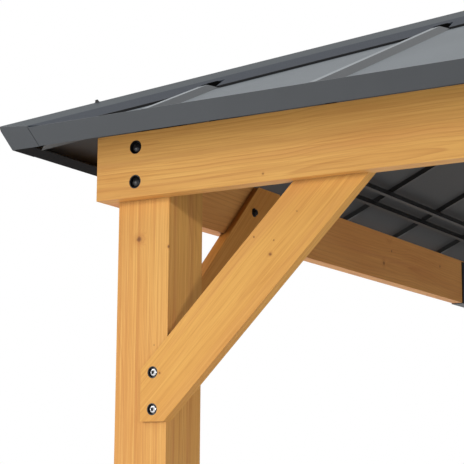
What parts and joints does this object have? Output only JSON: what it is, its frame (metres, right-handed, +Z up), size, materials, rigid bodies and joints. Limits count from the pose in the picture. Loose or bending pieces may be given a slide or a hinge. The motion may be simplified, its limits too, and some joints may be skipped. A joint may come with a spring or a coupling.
{
  "type": "garden pavilion",
  "caption": "Open rectangular garden pavilion: timber posts, knee braces and bolted beams carry a steel hip roof with seam ribs, capped hips and a ridge cap.",
  "frame": {"origin": "on the ground at the middle of the plan", "axes": "+Z up, +Y along the ridge towards the back, +X to the right of a person facing the front eave"},
  "size_m": [3.6674, 4.8864, 3.0976],
  "materials": {
    "timber": "stained cedar, satin",
    "dark_steel": "black powder coat, satin",
    "roof_sheet": "grey powder coat, satin",
    "roof_trim": "dark grey powder coat, satin"
  },
  "bodies": {
    "root": {"post_front_left": "timber", "post_front_right": "timber", "post_back_left": "timber", "post_back_right": "timber", "post_feet": "dark_steel", "front_beam": "timber", "back_beam": "timber", "left_beam_front": "timber", "left_beam_back": "timber", "right_beam_front": "timber", "right_beam_back": "timber", "beam_splices": "dark_steel", "front_brace_left": "timber", "front_brace_right": "timber", "back_brace_left": "timber", "back_brace_right": "timber", "left_brace_front": "timber", "left_brace_back": "timber", "right_brace_front": "timber", "right_brace_back": "timber", "hip_rafter_front_left": "dark_steel", "hip_rafter_front_right": "dark_steel", "hip_rafter_back_left": "dark_steel", "hip_rafter_back_right": "dark_steel", "ridge_beam": "dark_steel", "front_rails": "dark_steel", "right_rails": "dark_steel", "back_rails": "dark_steel", "left_rails": "dark_steel", "front_panel": "roof_sheet", "right_panel": "roof_sheet", "back_panel": "roof_sheet", "left_panel": "roof_sheet", "front_ribs": "roof_sheet", "right_ribs": "roof_sheet", "back_ribs": "roof_sheet", "left_ribs": "roof_sheet", "front_trim": "roof_trim", "right_trim": "roof_trim", "back_trim": "roof_trim", "left_trim": "roof_trim", "corner_caps": "roof_trim", "hip_cap_front_left": "roof_trim", "hip_cap_front_right": "roof_trim", "hip_cap_back_left": "roof_trim", "hip_cap_back_right": "roof_trim", "ridge_cap": "roof_trim"}
  },
  "joints": []
}
